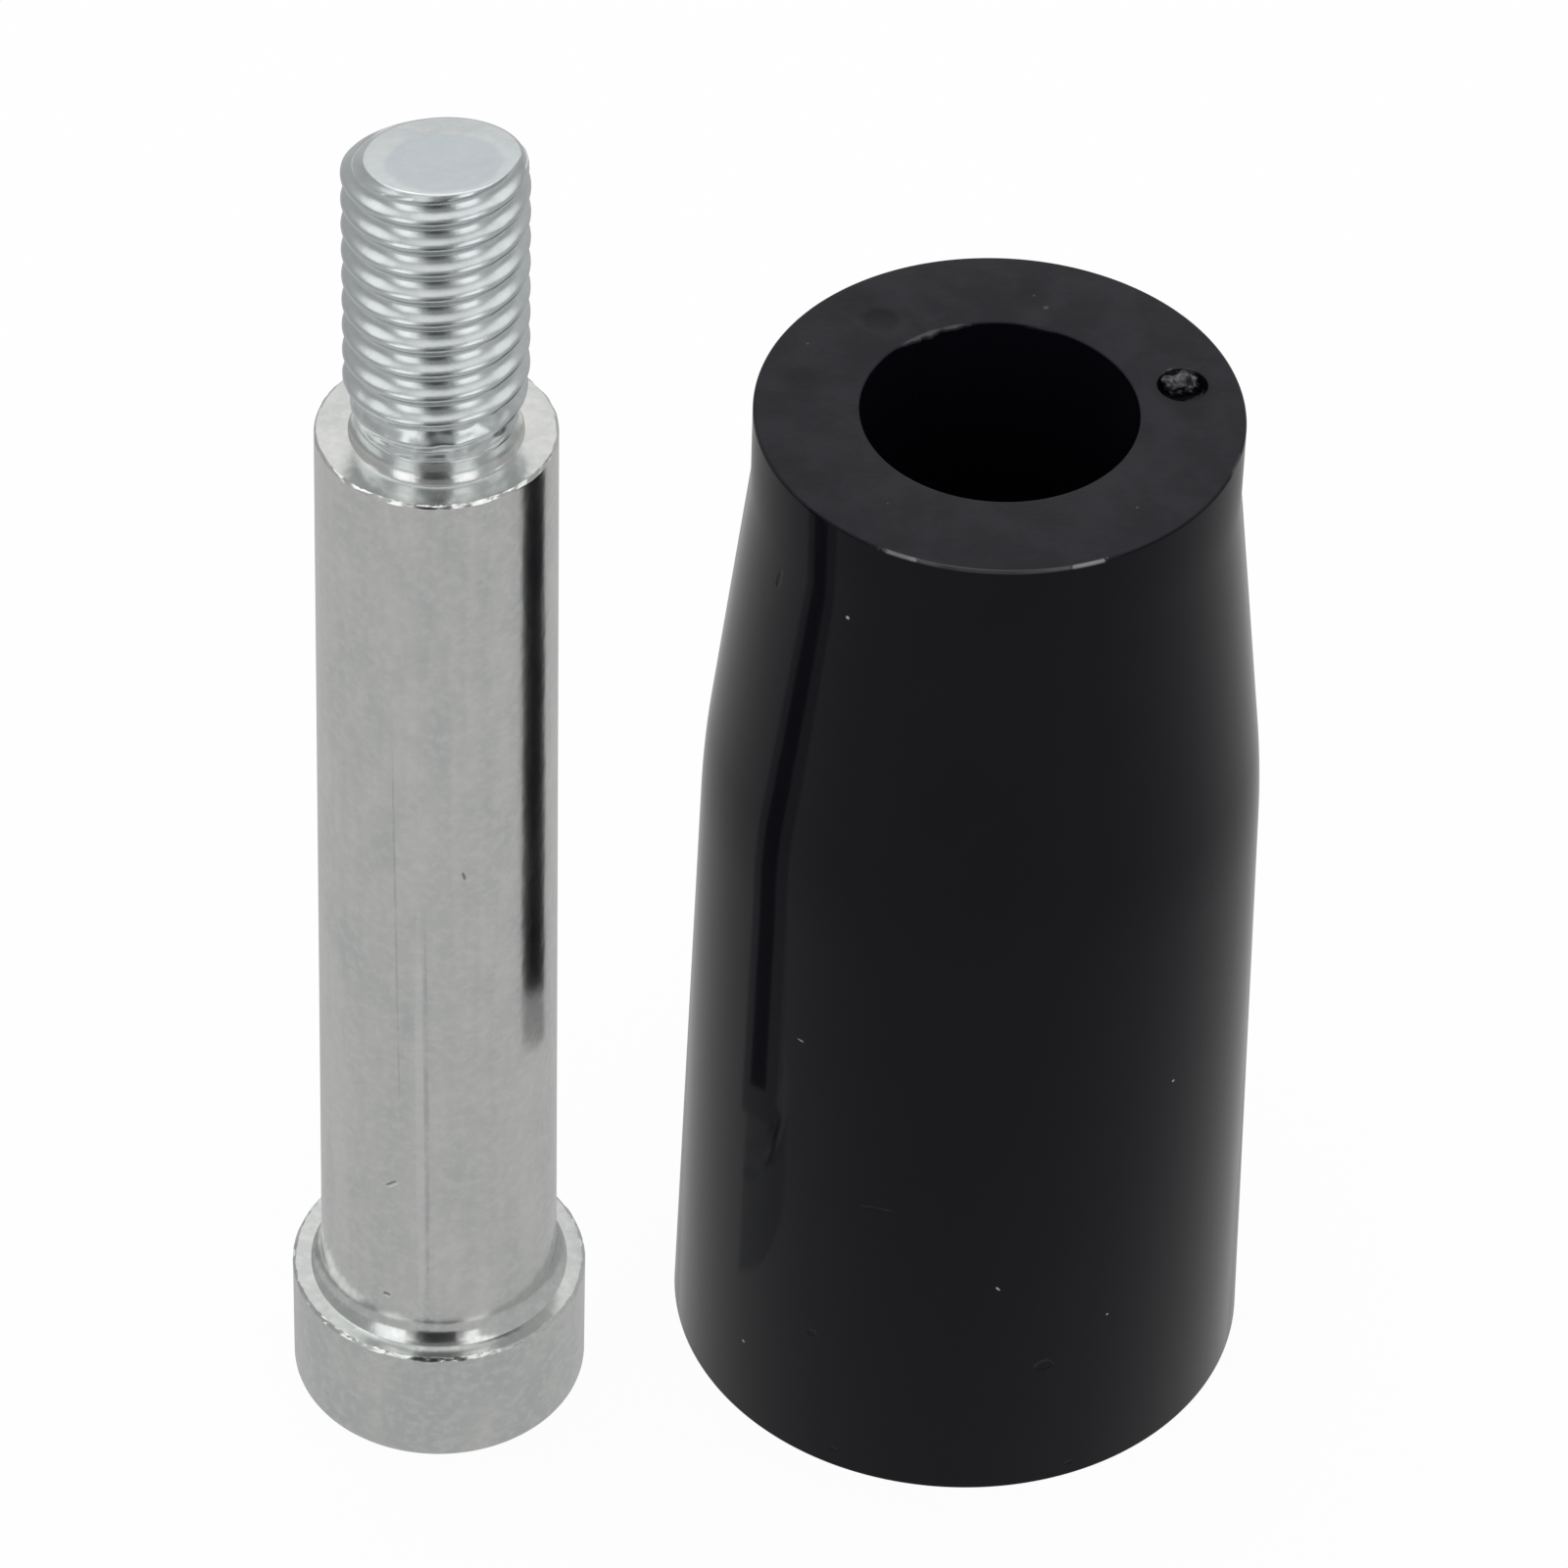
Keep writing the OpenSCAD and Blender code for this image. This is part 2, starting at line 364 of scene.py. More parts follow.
def raise_flash(bm):
    """Pulls the torn flash at the edge of the bore a little inwards and up."""
    for vert in bm.verts:
        r = math.hypot(vert.co.x, vert.co.y)
        turn = math.degrees(math.atan2(vert.co.y, vert.co.x))
        share = 1 - ease(abs(turn - FLASH_TURN), FLASH_FULL, FLASH_END)
        if share > 0 and abs(r - MOUTH_R) < 0.11 and vert.co.z > GRIP_LEN - 0.15:
            wave = 0.6 + ragged(math.radians(turn), 2, 18)
            vert.co.x *= (r - FLASH_IN * share * wave) / r
            vert.co.y *= (r - FLASH_IN * share * wave) / r
            vert.co.z += FLASH_UP * share * wave


def face_cutter(name, turn, distance, radius, depth, slope):
    """A round cutter that sinks into the narrow end, with a sloping edge."""
    bm = bmesh.new()
    bmesh.ops.create_cone(bm, cap_ends=True, segments=64, radius1=radius - slope,
                          radius2=radius + slope, depth=2 * depth)
    a = math.radians(turn)
    place = (distance * math.cos(a), distance * math.sin(a), GRIP_LEN)
    bmesh.ops.translate(bm, verts=bm.verts, vec=place)
    return piece_from(bm, name, GRIP_X)


def gate_stub():
    """The torn stub of the gate, a ragged lump at the back of its pit."""
    bm = bmesh.new()
    bmesh.ops.create_icosphere(bm, subdivisions=4, radius=GATE_STUB_R)
    for vert in bm.verts:
        lump = noise.fractal(vert.co * GATE_STUB_PACE + GATE_STUB_SEED, 0.8, 2, 3)
        vert.co *= 1 + GATE_STUB_LUMPS * lump
    bmesh.ops.scale(bm, verts=bm.verts, vec=GATE_STUB_FLAT)
    turn, distance = GATE_PIT[:2]
    a = math.radians(turn)
    place = (distance * math.cos(a) + GATE_STUB_SHIFT.x, distance * math.sin(a) + GATE_STUB_SHIFT.y,
             GRIP_LEN - GATE_STUB_SINK)
    bmesh.ops.translate(bm, verts=bm.verts, vec=place)
    return piece_from(bm, "gate_stub_form", GRIP_X)


def carve(piece, tool, operation):
    """Cuts or joins a tool into a piece, and takes the tool away."""
    change = piece.modifiers.new("carve", "BOOLEAN")
    change.object = tool
    change.operation = operation
    change.solver = "EXACT"
    shape = bpy.data.meshes.new_from_object(piece.evaluated_get(bpy.context.evaluated_depsgraph_get()))
    piece.modifiers.clear()
    old = piece.data
    piece.data = shape
    bpy.data.meshes.remove(old)
    bpy.data.objects.remove(tool)


def make_grip():
    """The grip, with its torn flash, its ejector marks and the gate's pit and stub."""
    bm = lathe(grip_outline(), GRIP_TURNS)
    raise_flash(bm)
    grip = piece_from(bm, "moulded_grip", GRIP_X)
    for number, mark in enumerate([*EJECTOR_MARKS, GATE_PIT]):
        carve(grip, face_cutter(f"face_cutter_{number}", *mark), "DIFFERENCE")
    carve(grip, gate_stub(), "UNION")
    grip.data.name = "moulded_grip"
    grip.data.shade_smooth()
    grip.data.set_sharp_from_angle(angle=math.radians(SHARP_ANGLE))
    return grip


def put(tree, kind, **settings):
    """Adds a node with these settings."""
    made = tree.nodes.new(kind)
    for name, value in settings.items():
        setattr(made, name, value)
    return made


def feed(tree, socket, value):
    """Sets a socket to a value, or links it to another node's output."""
    if isinstance(value, bpy.types.NodeSocket):
        tree.links.new(value, socket)
    else:
        socket.default_value = value


def maths(tree, operation, *values):
    """A sum of this kind over values or outputs."""
    made = put(tree, "ShaderNodeMath", operation=operation)
    for socket, value in zip(made.inputs, values):
        feed(tree, socket, value)
    return made.outputs[0]


def times(tree, first, second):
    """The product of two."""
    return maths(tree, "MULTIPLY", first, second)


def scaled(tree, value, factor, base):
    """The value times a factor, on top of a base."""
    return maths(tree, "MULTIPLY_ADD", value, factor, base)


def either(tree, first, second):
    """The larger of two, which joins two masks."""
    return maths(tree, "MAXIMUM", first, second)


def distance_of(tree, x, y):
    """How far a point lies from the middle, from its two parts."""
    return maths(tree, "SQRT", maths(tree, "ADD", times(tree, x, x), times(tree, y, y)))


def stretch(tree, value, low, high, to_low=0.0, to_high=1.0):
    """Turns the values from low to high into those from to_low to to_high."""
    made = put(tree, "ShaderNodeMapRange", interpolation_type="SMOOTHSTEP")
    for socket, number in zip(made.inputs, (value, low, high, to_low, to_high)):
        feed(tree, socket, number)
    return made.outputs[0]


def cloud(tree, place, size, detail=2.0, roughness=0.5, shape=(1, 1, 1)):
    """Noise whose blots are about this large in millimetres, stretched along the axes."""
    spread = put(tree, "ShaderNodeMapping")
    feed(tree, spread.inputs["Vector"], place)
    spread.inputs["Scale"].default_value = [1 / (size * s) for s in shape]
    made = put(tree, "ShaderNodeTexNoise")
    feed(tree, made.inputs["Vector"], spread.outputs[0])
    made.inputs["Scale"].default_value = 1.0
    made.inputs["Detail"].default_value = detail
    made.inputs["Roughness"].default_value = roughness
    return made.outputs["Fac"]


def tint(tree, share, first, second):
    """Colour between two, by a share from 0 to 1."""
    made = put(tree, "ShaderNodeMix", data_type="RGBA")
    feed(tree, made.inputs["Factor"], share)
    feed(tree, made.inputs[6], first if isinstance(first, bpy.types.NodeSocket) else (*first, 1))
    feed(tree, made.inputs[7], second if isinstance(second, bpy.types.NodeSocket) else (*second, 1))
    return made.outputs[2]


def lay_over(tree, colour, mask, share, other):
    """Lays another colour over a colour where the mask is, at this share."""
    return tint(tree, times(tree, mask, share), colour, other)


def new_effect(name, inputs, outputs):
    """An empty node group with named sockets, as its tree, inputs and outputs."""
    tree = bpy.data.node_groups.new(name, "ShaderNodeTree")
    for label, kind, value in inputs:
        tree.interface.new_socket(label, in_out="INPUT", socket_type=kind).default_value = value
    for label, kind in outputs:
        tree.interface.new_socket(label, in_out="OUTPUT", socket_type=kind)
    return tree, put(tree, "NodeGroupInput").outputs, put(tree, "NodeGroupOutput").inputs


def use(tree, effect, **values):
    """Places an effect with its own values, and gives its outputs."""
    made = put(tree, "ShaderNodeGroup", node_tree=effect)
    for name, value in values.items():
        feed(tree, made.inputs[name.replace("_", " ")], value)
    return made.outputs


def round_the_axis():
    """Effect: where a point lies round a piece's upright axis, in millimetres and degrees."""
    tree, given, wanted = new_effect("round_the_axis", [("axis x", "NodeSocketFloat", 0)], [
        ("place", "NodeSocketVector"), ("angle", "NodeSocketFloat"),
        ("height", "NodeSocketFloat"), ("radius", "NodeSocketFloat")])
    spot = put(tree, "ShaderNodeSeparateXYZ")
    tree.links.new(put(tree, "ShaderNodeTexCoord").outputs["Object"], spot.inputs[0])
    x = maths(tree, "SUBTRACT", maths(tree, "DIVIDE", spot.outputs[0], MM), given["axis x"])
    y = maths(tree, "DIVIDE", spot.outputs[1], MM)
    z = maths(tree, "DIVIDE", spot.outputs[2], MM)
    place = put(tree, "ShaderNodeCombineXYZ")
    for socket, value in zip(place.inputs, (x, y, z)):
        feed(tree, socket, value)
    feed(tree, wanted["place"], place.outputs[0])
    feed(tree, wanted["angle"], maths(tree, "DEGREES", maths(tree, "ARCTAN2", y, x)))
    feed(tree, wanted["height"], z)
    feed(tree, wanted["radius"], distance_of(tree, x, y))
    return tree


def small_mark():
    """Effect: an oval spot on the wall at a turn and a level, with a ragged edge."""
    tree, given, wanted = new_effect("small_mark", [
        ("angle", "NodeSocketFloat", 0), ("height", "NodeSocketFloat", 0),
        ("place", "NodeSocketVector", (0, 0, 0)), ("wall radius", "NodeSocketFloat", 1),
        ("turn", "NodeSocketFloat", 0), ("level", "NodeSocketFloat", 0),
        ("half width", "NodeSocketFloat", 0.1), ("half length", "NodeSocketFloat", 0.1),
        ("slant", "NodeSocketFloat", 0)], [("spot", "NodeSocketFloat")])
    off = maths(tree, "WRAP", maths(tree, "SUBTRACT", given["angle"], given["turn"]), 180.0, -180.0)
    across = times(tree, maths(tree, "RADIANS", off), given["wall radius"])
    along = maths(tree, "SUBTRACT", given["height"], given["level"])
    across = maths(tree, "ADD", across, times(tree, along, given["slant"]))
    u = maths(tree, "DIVIDE", across, given["half width"])
    v = maths(tree, "DIVIDE", along, given["half length"])
    reach = distance_of(tree, u, v)
    wobble = scaled(tree, cloud(tree, given["place"], 0.12), 0.9, -0.45)
    feed(tree, wanted["spot"], stretch(tree, maths(tree, "ADD", reach, wobble), 0.7, 1.1, 1.0, 0.0))
    return tree


def face_disc():
    """Effect: a soft round patch on an end face, about a middle in millimetres from the axis."""
    tree, given, wanted = new_effect("face_disc", [
        ("place", "NodeSocketVector", (0, 0, 0)), ("middle x", "NodeSocketFloat", 0),
        ("middle y", "NodeSocketFloat", 0), ("radius", "NodeSocketFloat", 1),
        ("softness", "NodeSocketFloat", 0.2)], [("disc", "NodeSocketFloat")])
    spot = put(tree, "ShaderNodeSeparateXYZ")
    tree.links.new(given["place"], spot.inputs[0])
    x = maths(tree, "SUBTRACT", spot.outputs[0], given["middle x"])
    y = maths(tree, "SUBTRACT", spot.outputs[1], given["middle y"])
    reach = distance_of(tree, x, y)
    wobble = scaled(tree, cloud(tree, given["place"], 0.5), 0.24, -0.12)
    inner = maths(tree, "SUBTRACT", given["radius"], given["softness"])
    outer = maths(tree, "ADD", given["radius"], given["softness"])
    feed(tree, wanted["disc"], stretch(tree, maths(tree, "ADD", reach, wobble), inner, outer, 1.0, 0.0))
    return tree


ROUND_THE_AXIS = round_the_axis()
SMALL_MARK = small_mark()
FACE_DISC = face_disc()


def spots_on(tree, where, wall_radius, marks):
    """All marks of a list on a wall, as one mask."""
    total = None
    for turn, level, half_width, half_length, slant in marks:
        spot = use(tree, SMALL_MARK, angle=where["angle"], height=where["height"], place=where["place"],
                   wall_radius=wall_radius, turn=turn, level=level, half_width=half_width,
                   half_length=half_length, slant=slant)["spot"]
        total = spot if total is None else either(tree, total, spot)
    return total


def discs_on(tree, where, marks):
    """All soft patches of a list on the narrow end, as one mask."""
    total = None
    for turn, distance, radius, softness in marks:
        a = math.radians(turn)
        disc = use(tree, FACE_DISC, place=where["place"], middle_x=distance * math.cos(a),
                   middle_y=distance * math.sin(a), radius=radius, softness=softness)["disc"]
        total = disc if total is None else either(tree, total, disc)
    return total


def new_material(name):
    """A material with its nodes, as itself, its tree and its shader."""
    material = bpy.data.materials.new(name)
    material.use_nodes = True
    return material, material.node_tree, material.node_tree.nodes["Principled BSDF"]


def bump(tree, shader, height):
    """Feeds a height in millimetres to the shader's normal."""
    made = put(tree, "ShaderNodeBump")
    made.inputs["Strength"].default_value = 1.0
    made.inputs["Distance"].default_value = MM
    feed(tree, made.inputs["Height"], height)
    tree.links.new(made.outputs[0], shader.inputs["Normal"])


# Nicks on the screw, darkened with painted shade: turn, level, half width, half length, slant
SHANK_NICKS = [(-124.4, 12.12, 0.06, 0.2, -1.1), (-126.8, 6.79, 0.14, 0.08, 0.3),
               (-88.0, 26.3, 0.05, 0.18, 0.2), (50.0, 30.2, 0.07, 0.07, 0.0),
               (110.0, 15.4, 0.06, 0.1, 0.4), (60.0, 18.0, 0.1, 0.16, 0.5),
               (140.0, 26.0, 0.14, 0.08, 0.0), (20.0, 9.0, 0.07, 0.12, 0.3)]
# Painted highlights by nicks, drawing-die lines darkened with painted shade, painted highlights by them
NICK_HIGHLIGHTS = [(-123.4, 12.03, 0.06, 0.19, -1.1), (-126.6, 6.68, 0.12, 0.04, 0.3),
             (110.6, 15.36, 0.06, 0.1, 0.4)]
DRAW_LINES = [(-106.4, 15.5, 0.09, 9.5, 0.004), (-121.0, 24.0, 0.05, 9.0, 0.012),
              (75.0, 20.0, 0.06, 10.0, 0.006)]
LINE_HIGHLIGHTS = [(-109.6, 15.0, 0.16, 10.5, 0.004), (72.0, 20.0, 0.12, 9.0, 0.006)]


# Colours of the zinc plate, painted highlights and painted shade at its nicks and die lines, the thread,
# the end
ZINC_DULL = (0.635, 0.658, 0.652)
ZINC_CLEAR = (0.785, 0.788, 0.762)
ZINC_SPECK = (0.86, 0.86, 0.84)
ZINC_HIGHLIGHT = (0.9, 0.91, 0.9)
ZINC_LINE_SHADE = (0.46, 0.46, 0.46)
ZINC_THREAD = (0.67, 0.73, 0.76)
ZINC_END = (0.52, 0.58, 0.62)
ZINC_NICK_SHADE = (0.16, 0.16, 0.16)


def zinc_plate():
    """Bright zinc plate: cloudy, softly uneven, with nicks and drawing lines, painted shade and
    highlights at them.
    """
    material, tree, shader = new_material("zinc_plate")
    where = use(tree, ROUND_THE_AXIS, axis_x=SCREW_X)
    place, height = where["place"], where["height"]
    on_shank = stretch(tree, height, HEAD_H, HEAD_H + 1.5)
    threaded = stretch(tree, height, CLAMP_Z, CLAMP_Z + 0.4)
    on_end = stretch(tree, height, END_Z - 1.0, END_Z - 0.6)

    # What lies on the plate
    blots = cloud(tree, place, 2.6, 3, 0.55, (1, 1, 1.8))
    smudges = cloud(tree, place, 1.3, 4, 0.65, (1, 1, 1.5))
    specks = cloud(tree, place, 0.35, 2, 0.6)
    streaks = times(tree, cloud(tree, place, 0.5, 2, 0.5, (1, 1, 18)), on_shank)
    broken = stretch(tree, cloud(tree, place, 0.3, 3, 0.6, (1, 1, 4)), 0.38, 0.58, 0.2, 1.0)
    nicks = spots_on(tree, where, SHANK_R, SHANK_NICKS)
    nick_highlights = spots_on(tree, where, SHANK_R, NICK_HIGHLIGHTS)
    lines = times(tree, spots_on(tree, where, SHANK_R, DRAW_LINES), broken)
    line_highlights = times(tree, spots_on(tree, where, SHANK_R, LINE_HIGHLIGHTS), 0.35)
    flat = use(tree, FACE_DISC, place=place, middle_x=POINT_FLAT_PLACE.x,
               middle_y=POINT_FLAT_PLACE.y, radius=POINT_FLAT_R, softness=0.14)["disc"]

    # Its colour
    uneven = scaled(tree, streaks, 0.25, times(tree, blots, 0.45))
    uneven = scaled(tree, smudges, 0.4, uneven)
    colour = tint(tree, stretch(tree, uneven, 0.34, 0.72), ZINC_DULL, ZINC_CLEAR)
    colour = tint(tree, stretch(tree, specks, 0.4, 0.72, 0.0, 0.45), colour, ZINC_SPECK)
    # Painted highlights beside the die lines and the nicks
    colour = tint(tree, either(tree, line_highlights, nick_highlights), colour, ZINC_HIGHLIGHT)
    # Painted shade in the die lines
    colour = lay_over(tree, colour, lines, 0.4, ZINC_LINE_SHADE)
    colour = lay_over(tree, colour, threaded, 0.5, ZINC_THREAD)
    colour = lay_over(tree, colour, times(tree, flat, on_end), 0.5, ZINC_END)
    # Painted shade in the nicks
    colour = lay_over(tree, colour, nicks, 0.6, ZINC_NICK_SHADE)
    feed(tree, shader.inputs["Base Color"], colour)

    # Its sheen
    shader.inputs["Metallic"].default_value = 1.0
    rough = scaled(tree, threaded, 0.08, scaled(tree, blots, 0.10, 0.14))
    feed(tree, shader.inputs["Roughness"], scaled(tree, nicks, 0.2, rough))

    # Its relief, in millimetres
    relief = times(tree, cloud(tree, place, 1.1, 2, 0.5, (1, 1, 1.8)), 0.017)
    relief = scaled(tree, specks, 0.0030, relief)
    relief = scaled(tree, streaks, 0.0036, relief)
    relief = scaled(tree, nicks, -0.03, relief)
    bump(tree, shader, scaled(tree, lines, -0.004, relief))
    return material


# Pits and scratches in the grip's wall, then bright dust and bruises
GRIP_PITS = [(-162.7, 36.07, 0.14, 0.36, -0.2), (-121.9, 12.62, 0.42, 0.1, -2.5),
             (-134.6, 5.88, 0.16, 0.14, 0.0), (-86.2, 5.63, 0.3, 0.24, 0.0),
             (-128.5, 0.82, 0.12, 0.1, 0.0), (-79.8, 0.61, 0.12, 0.1, 0.0),
             (165.0, 13.0, 0.2, 0.22, 0.0), (30.0, 22.0, 0.12, 0.2, 0.3),
             (100.0, 31.0, 0.1, 0.12, 0.0)]
GRIP_SPECKS = [(-139.5, 36.58, 0.09, 0.07, 0.0), (-141.0, 18.81, 0.13, 0.035, 0.8),
               (-58.2, 16.72, 0.06, 0.05, 0.0), (-96.5, 9.52, 0.05, 0.09, 0.6),
               (-152.2, 3.45, 0.07, 0.05, 0.0), (-72.6, 7.21, 0.05, 0.04, 0.0),
               (70.0, 12.0, 0.06, 0.06, 0.0)]

# Soft patches on the narrow end: turn, distance from the axis, radius, softness
FACE_SHADOWS = [(117.4, 5.96, 0.66, 0.18), (155.5, 6.6, 0.6, 0.3), (66.1, 5.92, 0.5, 0.3),
                (0.5, 6.1, 0.95, 0.2), (-12.0, 6.2, 0.5, 0.4)]
FACE_SPECKS = [(73.0, 6.6, 0.05, 0.02), (66.0, 6.1, 0.04, 0.02), (61.0, 5.6, 0.06, 0.03),
               (140.0, 7.0, 0.04, 0.02), (-60.0, 6.4, 0.04, 0.02), (-140.0, 6.0, 0.04, 0.02)]
STUB_PLACE = [(4.4, 6.16, 0.62, 0.05)]

# Painted glints on rims and torn flash, then faint ones: turn, level, half width, half length, slant
RIM_GLINTS = [(-126.6, 39.95, 0.62, 0.4, 0.0), (-82.6, 39.95, 0.6, 0.4, 0.0),
              (106.0, 39.95, 2.4, 0.4, 0.0)]
RIM_FAINT_GLINTS = [(-106.0, 39.95, 3.4, 0.4, 0.0), (-30.0, 39.95, 0.6, 0.4, 0.0),
            (60.0, 39.95, 0.9, 0.4, 0.0)]


# Colours of the plastic: its wall, its narrow end, a torn place with painted highlight, dust and rim
# glints
WALL_DARK = (0.0029, 0.0028, 0.0052)
WALL_PALE = (0.0044, 0.0043, 0.0068)
FACE_DARK = (0.0118, 0.0118, 0.0158)
FACE_PALE = (0.0178, 0.0178, 0.0225)
FACE_SHADOW = (0.006, 0.006, 0.008)
TORN_GREY_AND_HIGHLIGHT = (0.070, 0.070, 0.074)
DUST_AND_GLINT_GREY = (0.42, 0.42, 0.41)

# Radius at which the marks on the grip's wall are measured round it
WALL_R = 9.2


def moulded_plastic():
    """Black moulded plastic: glossy on its wall, satin on the narrow end, painted highlights on rims and
    stub.
    """
    material, tree, shader = new_material("moulded_plastic")
    where = use(tree, ROUND_THE_AXIS, axis_x=GRIP_X)
    place, height, radius = where["place"], where["height"], where["radius"]
    haze = cloud(tree, place, 3.0, 3, 0.55)
    face = stretch(tree, height, GRIP_LEN - 0.07, GRIP_LEN - 0.01)
    pits = spots_on(tree, where, WALL_R, GRIP_PITS)
    specks = spots_on(tree, where, WALL_R, GRIP_SPECKS)

    # The torn stub in its pit: its upper part lighter, partly whitened torn plastic, partly painted
    # highlight
    in_pit = stretch(tree, height, GRIP_LEN - GATE_STUB_SINK, GRIP_LEN - 0.1)
    torn_and_lit = times(tree, discs_on(tree, where, STUB_PLACE), in_pit)
    torn_and_lit = times(tree, torn_and_lit, stretch(tree, cloud(tree, place, 0.3, 3, 0.6), 0.38, 0.64))

    # The edges of the narrow end, with painted highlights and a glossy coat
    on_top = stretch(tree, height, GRIP_LEN - 0.15, GRIP_LEN - 0.1)
    edges = either(tree, stretch(tree, radius, NARROW_R - 0.09, NARROW_R - 0.05),
                   stretch(tree, radius, MOUTH_R, MOUTH_R + 0.06, 0.25, 0.0))
    faint = times(tree, spots_on(tree, where, NARROW_R, RIM_FAINT_GLINTS), 0.3)
    glints = either(tree, spots_on(tree, where, NARROW_R, RIM_GLINTS), faint)
    glints = times(tree, glints, stretch(tree, cloud(tree, place, 1.2, 2, 0.5), 0.3, 0.6, 0.6, 1.0))
    rim = times(tree, times(tree, on_top, glints), edges)
    shine = either(tree, rim, times(tree, torn_and_lit, 0.5))

    # Its colour
    smudged = stretch(tree, cloud(tree, place, 1.5, 3, 0.6), 0.35, 0.7)
    end = tint(tree, smudged, FACE_DARK, FACE_PALE)
    end = lay_over(tree, end, discs_on(tree, where, FACE_SHADOWS), 0.5, FACE_SHADOW)
    colour = tint(tree, face, tint(tree, haze, WALL_DARK, WALL_PALE), end)
    pale = either(tree, torn_and_lit, discs_on(tree, where, FACE_SPECKS))
    # The stub's torn plastic and painted highlight, and pale specks on the face
    colour = lay_over(tree, colour, pale, 0.8, TORN_GREY_AND_HIGHLIGHT)
    # Dust specks, and painted highlights on the rims
    dust_and_glints = either(tree, specks, times(tree, rim, 0.35))
    feed(tree, shader.inputs["Base Color"], lay_over(tree, colour, dust_and_glints, 0.8, DUST_AND_GLINT_GREY))

    # Its sheen
    shader.inputs["Specular IOR Level"].default_value = 0.14
    feed(tree, shader.inputs["Coat Weight"], shine)
    shader.inputs["Coat Roughness"].default_value = 0.12
    shader.inputs["Coat IOR"].default_value = 1.8
    satin = times(tree, face, scaled(tree, shine, -0.8, 1.0))
    rough = scaled(tree, satin, 0.28, scaled(tree, haze, 0.05, 0.08))
    feed(tree, shader.inputs["Roughness"], scaled(tree, pits, 0.2, rough))

    # Its relief, in millimetres
    grain = cloud(tree, place, 0.28, 2, 0.55)
    relief = times(tree, grain, scaled(tree, face, 0.010, 0.0008))
    relief = scaled(tree, cloud(tree, place, 2.2, 2, 0.5, (1, 1, 3)), 0.006, relief)
    relief = scaled(tree, pits, -0.05, relief)
    bump(tree, shader, scaled(tree, specks, 0.02, relief))
    return material


screw = make_screw()
screw.data.materials.append(zinc_plate())
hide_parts("axle_screw")
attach(screw, "axle")

grip = make_grip()
grip.data.materials.clear()
grip.data.materials.append(moulded_plastic())
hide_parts("grip")
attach(grip, "grip")

# Camera, as the photograph was taken
TARGET = Vector((6.565, 27.04, 0)) * MM
CAMERA_TURN = math.radians(13.54)
CAMERA_DOWN = math.radians(41.87)
CAMERA_ROLL = math.radians(1.83)
CAMERA_DISTANCE = 331.2 * MM
CAMERA_LENS = 202.5

# How white the floor and the studio look in the gloss of the pieces
MIRRORED_WHITE = 0.5

# Light from all round, the floor's half width in metres, its colour, and how far it lies under
# the pieces and how much of it is plain white where it is seen
WORLD_LIGHT = 0.7
FLOOR_HALF = 3.0
FLOOR_GREY = (0.82, 0.82, 0.82, 1)
FLOOR_DROP = 0.01
FLOOR_WHITE = 0.96


def towards_camera(turn, height):
    """Unit direction from the pieces, turned from the camera's side and raised."""
    a = turn - CAMERA_TURN
    return Vector((math.sin(a) * math.cos(height), -math.cos(a) * math.cos(height), math.sin(height)))


def make_camera():
    """The camera, rolled a little, at its distance from the point that it looks at."""
    data = bpy.data.cameras.new("camera")
    data.lens = CAMERA_LENS
    data.clip_start = 1 * MM
    camera = bpy.data.objects.new("camera", data)
    bpy.context.scene.collection.objects.link(camera)
    place = TARGET + CAMERA_DISTANCE * towards_camera(0, CAMERA_DOWN)
    turn = (Matrix.Rotation(-CAMERA_TURN, 4, "Z") @ Matrix.Rotation(math.pi / 2 - CAMERA_DOWN, 4, "X")
            @ Matrix.Rotation(CAMERA_ROLL, 4, "Z"))
    camera.matrix_world = Matrix.Translation(place) @ turn
    bpy.context.scene.camera = camera


def aim(thing, turn, height, distance):
    """Places a lamp or a card on its side of the camera, facing the pieces."""
    way = towards_camera(math.radians(turn), math.radians(height))
    thing.location = Vector((0, 0, 25 * MM)) + way * distance
    thing.rotation_euler = way.to_track_quat("Z", "Y").to_euler()


def make_lamp(name, turn, height, distance, width, depth, strength):
    """A soft box that faces the pieces, with its radiance as its strength."""
    data = bpy.data.lights.new(name, "AREA")
    data.shape = "RECTANGLE"
    data.size = width
    data.size_y = depth
    data.energy = strength * math.pi * width * depth
    lamp = bpy.data.objects.new(name, data)
    bpy.context.scene.collection.objects.link(lamp)
    aim(lamp, turn, height, distance)


def show_from_front(tree, shader):
    """Ends a material with this shader on the front of its faces, and nothing on their back."""
    mix = put(tree, "ShaderNodeMixShader")
    tree.links.new(put(tree, "ShaderNodeNewGeometry").outputs["Backfacing"], mix.inputs[0])
    tree.links.new(shader, mix.inputs[1])
    tree.links.new(put(tree, "ShaderNodeBsdfTransparent").outputs[0], mix.inputs[2])
    tree.links.new(mix.outputs[0], tree.nodes["Material Output"].inputs["Surface"])


